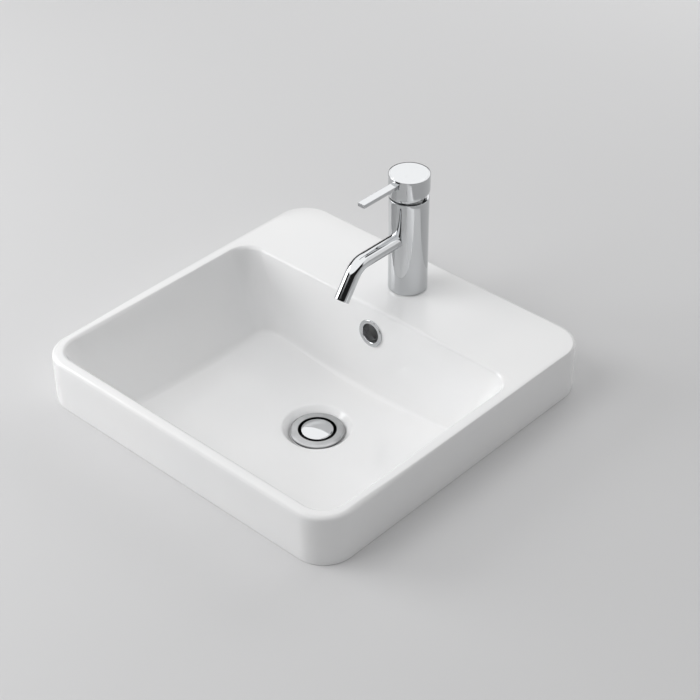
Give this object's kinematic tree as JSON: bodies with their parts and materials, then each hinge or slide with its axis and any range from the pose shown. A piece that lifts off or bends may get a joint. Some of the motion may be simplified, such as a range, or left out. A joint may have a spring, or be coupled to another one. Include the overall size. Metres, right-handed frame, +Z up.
{
  "type": "inset wash basin",
  "caption": "Inset wash basin in glazed china with a rear tap deck, single-lever mixer tap, pop-up waste and overflow ring.",
  "frame": {"origin": "plan centre of the basin on the countertop plane, which the apron's lower face rests on", "axes": "+X to the user's right, +Y back towards the wall and the tap, +Z up"},
  "size_m": [0.44, 0.432, 0.37],
  "materials": {
    "china": "white vitreous glaze, glossy",
    "chrome": "bright chrome plate",
    "dull_chrome": "satin chrome plate, dulled by water",
    "brass": "machined brass",
    "steel": "zinc plated steel",
    "spring_steel": "drawn stainless wire",
    "black_rubber": "moulded nitrile rubber",
    "white_plastic": "moulded acetal",
    "grey_plastic": "moulded nylon",
    "alumina": "lapped alumina"
  },
  "bodies": {
    "basin_unit": {"basin": "china", "overflow_ring": "chrome", "waste_body": "dull_chrome", "flange_seal": "black_rubber", "lower_washer": "black_rubber", "backnut": "brass", "click_housing": "brass", "cam_ring": "white_plastic", "click_end_cap": "brass", "click_spring": "spring_steel", "tap_body": "chrome", "spout": "chrome", "aerator": "grey_plastic", "aerator_seal": "black_rubber", "cartridge_base": "white_plastic", "base_seals": "black_rubber", "fixed_disc": "alumina", "cartridge_housing": "white_plastic", "retaining_nut": "brass", "base_gasket": "black_rubber", "deck_washer": "black_rubber", "clamp_plate": "steel", "fixing_stud": "steel", "fixing_nut": "brass"},
    "plug": {"plug_cap": "chrome", "plug_seal": "black_rubber", "plunger": "brass"},
    "latch": {"latch_rotor": "white_plastic"},
    "rotor": {"cartridge_rotor": "grey_plastic", "pivot_pin": "steel"},
    "handle": {"cartridge_spindle": "brass", "handle_shell": "chrome", "lever_blade": "chrome", "grub_screw": "steel"},
    "valve": {"moving_disc": "alumina", "disc_carrier": "grey_plastic"}
  },
  "joints": [
    {"name": "plug_lift", "type": "slide", "parent": "basin_unit", "child": "plug", "axis": [0, 0, 1], "range_m": [-0.0015, 0.0085], "deforming": ["click_spring"]},
    {"name": "latch_turn", "type": "hinge", "parent": "plug", "child": "latch", "pos_m": [0, 0.002, -0.105], "axis": [0, 0, 1], "range_deg": [-10, 50]},
    {"name": "handle_swivel", "type": "hinge", "parent": "basin_unit", "child": "rotor", "pos_m": [0, 0.158, 0.182], "axis": [0, 0, 1], "range_deg": [-50, 50]},
    {"name": "handle_lift", "type": "hinge", "parent": "rotor", "child": "handle", "pos_m": [0, 0.158, 0.182], "axis": [-1, 0, 0], "range_deg": [0, 24]},
    {"name": "valve_slide", "type": "slide", "parent": "rotor", "child": "valve", "axis": [0, -1, 0], "range_m": [0, 0.0058]}
  ],
  "couplings": [
    {"joint": "valve_slide", "follows": "handle_lift", "m_per_rad": 0.0137},
    {"joint": "latch_turn", "follows": "plug_lift", "rad_per_m": 92}
  ]
}
